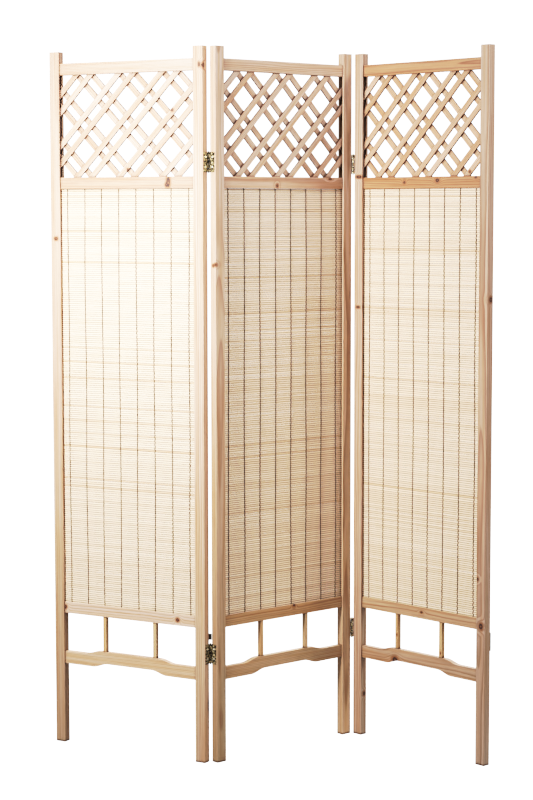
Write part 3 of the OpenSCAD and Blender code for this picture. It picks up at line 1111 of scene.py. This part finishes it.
def add_bumpers():
    rubber = make_rubber()
    for panel in ("left_panel", "right_panel"):
        node = f"{panel}_bumper"
        mesh = cad_mesh(node, panel)
        low, high = extent(vertex.co for vertex in mesh.verts)
        ease_edges(mesh, BUMPER_EASE, BUMPER_SHORTEST_EDGE, segments=3)
        data = to_data(mesh, node)
        add_grain(data, (low + high) / 2, ALONG_Z, ALONG_X)
        piece = add_piece(f"{node}_pad", data, panel, rubber, node)
        even_shading(piece)


# ---------------------------------------------------------------- camera, light and floor

# The camera stands in front of the screen's middle and looks down by CAMERA_DIP degrees
CAMERA_DISTANCE = 5.021
CAMERA_SIDE = -0.0033
CAMERA_HEIGHT = 1.322
CAMERA_DIP = 5.247
CAMERA_ROLL = -0.07
LENS_MM = 93.7
SENSOR_MM = 36
# Film response: scene brightness to picture brightness, with a toe and a long shoulder up to the
# brightness that comes out white.  The film takes in brightness from 0 to 1, so every light is
# given in these units and divided by FILM_WHITE.
FILM_WHITE = 2.7
FILM_CURVE = ((0.10, 0.07), (0.25, 0.23), (0.64, 0.61), (1.1, 0.80), (1.6, 0.91))
# How bright the surround is as the camera sees it, as metal mirrors it and as it lights the rest
WORLD_SEEN = 3.0
WORLD_MIRRORED = 0.9
WORLD_LIGHT = 0.12
# How much light the floor sends back up, how bright the camera sees it glow, and its half width
FLOOR_BOUNCE = 0.22
FLOOR_GLOW = 2.9
FLOOR_REACH = 40


def add_camera():
    data = bpy.data.cameras.new("camera")
    data.lens = LENS_MM
    data.sensor_width = SENSOR_MM
    camera = add_object("camera", data)
    low, high = cad_box
    middle = (low + high) / 2
    place = (middle.x + CAMERA_SIDE, middle.y - CAMERA_DISTANCE, CAMERA_HEIGHT)
    tip = Matrix.Rotation(math.radians(90 - CAMERA_DIP), 4, "X")
    roll = Matrix.Rotation(math.radians(CAMERA_ROLL), 4, "Z")
    camera.matrix_world = Matrix.Translation(place) @ tip @ roll
    bpy.context.scene.camera = camera


def add_area(name, place, target, size, power, spread=180, colour=(1, 1, 1)):
    """A square light with its side in metres, which shines within spread degrees."""
    data = bpy.data.lights.new(name, "AREA")
    data.color = colour
    data.size = size
    data.energy = power / FILM_WHITE
    data.spread = math.radians(spread)
    light = add_object(name, data)
    light.location = place
    aim = Vector(target) - Vector(place)
    light.rotation_euler = aim.to_track_quat("-Z", "Y").to_euler()
    light.visible_camera = False


def add_world():
    """A white surround that the camera sees full, metal mirrors and little light comes from."""
    world = bpy.data.worlds.new("studio")
    bpy.context.scene.world = world
    world.use_nodes = True
    world.node_tree.nodes.clear()
    graph = Graph(world.node_tree)
    path = graph.node("ShaderNodeLightPath")
    mirrored = graph.remap(path.outputs["Is Glossy Ray"], 0, 1, WORLD_LIGHT, WORLD_MIRRORED)
    strength = graph.remap(path.outputs["Is Camera Ray"], 0, 1, mirrored, WORLD_SEEN)
    strength = graph.math("DIVIDE", strength, FILM_WHITE)
    background = graph.node("ShaderNodeBackground", {"Color": (1, 1, 1, 1), "Strength": strength})
    graph.node("ShaderNodeOutputWorld", {"Surface": background.outputs[0]})


def add_floor():
    """A pale floor that merges into the white surround and keeps a soft shadow at the feet."""
    material, graph, shader = new_material("floor")
    seen = graph.node("ShaderNodeLightPath").outputs["Is Camera Ray"]
    graph.feed(shader, {
        "Base Color": (FLOOR_BOUNCE, FLOOR_BOUNCE, FLOOR_BOUNCE, 1),
        "Roughness": 0.9,
        "Specular IOR Level": 0.0,
        "Emission Color": (1, 1, 1, 1),
        "Emission Strength": graph.math("MULTIPLY", seen, FLOOR_GLOW / FILM_WHITE),
    })
    mesh = bmesh.new()
    bmesh.ops.create_grid(mesh, x_segments=1, y_segments=1, size=FLOOR_REACH)
    data = bpy.data.meshes.new("floor")
    mesh.to_mesh(data)
    mesh.free()
    data.materials.append(material)
    add_object("floor", data)


def set_film():
    """Gives the picture the film's response, on the curve that all three colours share."""
    view = bpy.context.scene.view_settings
    view.view_transform = "Standard"
    view.use_curve_mapping = True
    for brightness, shown in FILM_CURVE:
        view.curve_mapping.curves[3].points.new(brightness / FILM_WHITE, shown)
    view.curve_mapping.update()


def add_studio():
    add_camera()
    add_world()
    add_floor()
    add_area("key", (-1.16, -1.24, 1.72), (-0.3, 0, 1.12), 0.3, 46, spread=130)
    add_area("fill", (2.50, -1.15, 2.74), (0.3, 0, 0.80), 0.6, 54)
    add_area("top", (2.20, -1.95, 3.42), (0, 0, 2.20), 0.8, 53, colour=(0.97, 1.0, 1.2))
    add_area("low", (2.20, -1.30, 0.55), (0.3, 0, 0.45), 0.5, 6, colour=(1.0, 0.90, 0.68))
    add_area("back", (0.7, 3.1, 2.3), (0, 0, 0.85), 1.8, 120)
    set_film()


add_boards()
add_blinds()
add_hinges()
add_bumpers()
add_studio()
